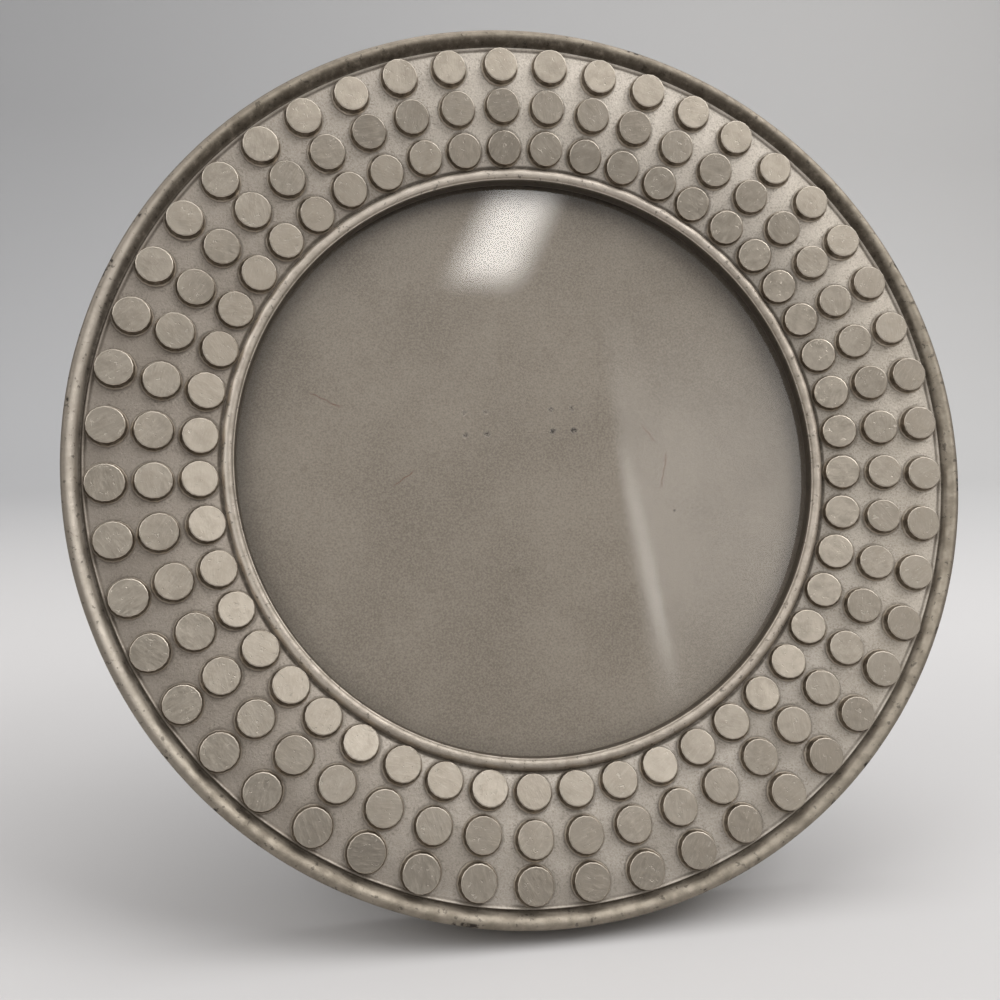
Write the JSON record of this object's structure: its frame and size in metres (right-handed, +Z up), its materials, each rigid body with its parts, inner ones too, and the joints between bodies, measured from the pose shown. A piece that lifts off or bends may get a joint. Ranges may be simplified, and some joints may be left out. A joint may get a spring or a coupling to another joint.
{
  "type": "round photo frame",
  "caption": "Round standing photo frame: a dished cast ring of studs round a glazed opening, with a backing board held by turn buttons and a hinged easel leg.",
  "frame": {"origin": "on the table, under the middle of the whole object's box", "axes": "+Z up, the front faces -Y and leans back by 17 degrees, +X is to the right as seen from the front"},
  "size_m": [0.2, 0.0754, 0.1943],
  "materials": {
    "cast_metal": "satin, antiqued dark in the hollows",
    "clear_glass": "polished",
    "lining_paper": "matt taupe",
    "board": "raw greyboard edge",
    "flocked_paper": "short black flock",
    "hinge_steel": "nickel plated",
    "staple_wire": "galvanised",
    "screw_steel": "plain steel",
    "button_steel": "black oxide"
  },
  "bodies": {
    "frame": {"bezel": "cast_metal", "glass_pane": "clear_glass", "front_lining": "lining_paper", "backing_board": "board", "board_cover": "flocked_paper", "hinge_plate": "hinge_steel", "hinge_pin": "hinge_steel", "hinge_staple_upper_left": "staple_wire", "hinge_staple_upper_right": "staple_wire", "hinge_staple_lower_left": "staple_wire", "hinge_staple_lower_right": "staple_wire", "button_screw_upper_right": "screw_steel", "button_screw_upper_left": "screw_steel", "button_screw_lower_left": "screw_steel", "button_screw_lower_right": "screw_steel"},
    "easel_leg": {"hinge_leaf": "hinge_steel", "leg_board": "board", "leg_cover": "flocked_paper", "leg_staple_left": "staple_wire", "leg_staple_right": "staple_wire"},
    "turn_button_upper_right": {"turn_button_upper_right": "button_steel"},
    "turn_button_upper_left": {"turn_button_upper_left": "button_steel"},
    "turn_button_lower_left": {"turn_button_lower_left": "button_steel"},
    "turn_button_lower_right": {"turn_button_lower_right": "button_steel"}
  },
  "joints": [
    {"name": "leg_hinge", "type": "hinge", "parent": "frame", "child": "easel_leg", "pos_m": [0, 0.00978, 0.09613], "axis": [1, 0, 0], "range_deg": [-30, 0]},
    {"name": "turn_upper_right", "type": "hinge", "parent": "frame", "child": "turn_button_upper_right", "pos_m": [0.05388, 0.02361, 0.14563], "axis": [0, -0.9563, 0.2924], "continuous": true},
    {"name": "turn_upper_left", "type": "hinge", "parent": "frame", "child": "turn_button_upper_left", "pos_m": [-0.05388, 0.02361, 0.14563], "axis": [0, -0.9563, 0.2924], "continuous": true},
    {"name": "turn_lower_left", "type": "hinge", "parent": "frame", "child": "turn_button_lower_left", "pos_m": [-0.05388, -0.0079, 0.04257], "axis": [0, -0.9563, 0.2924], "continuous": true},
    {"name": "turn_lower_right", "type": "hinge", "parent": "frame", "child": "turn_button_lower_right", "pos_m": [0.05388, -0.0079, 0.04257], "axis": [0, -0.9563, 0.2924], "continuous": true}
  ]
}
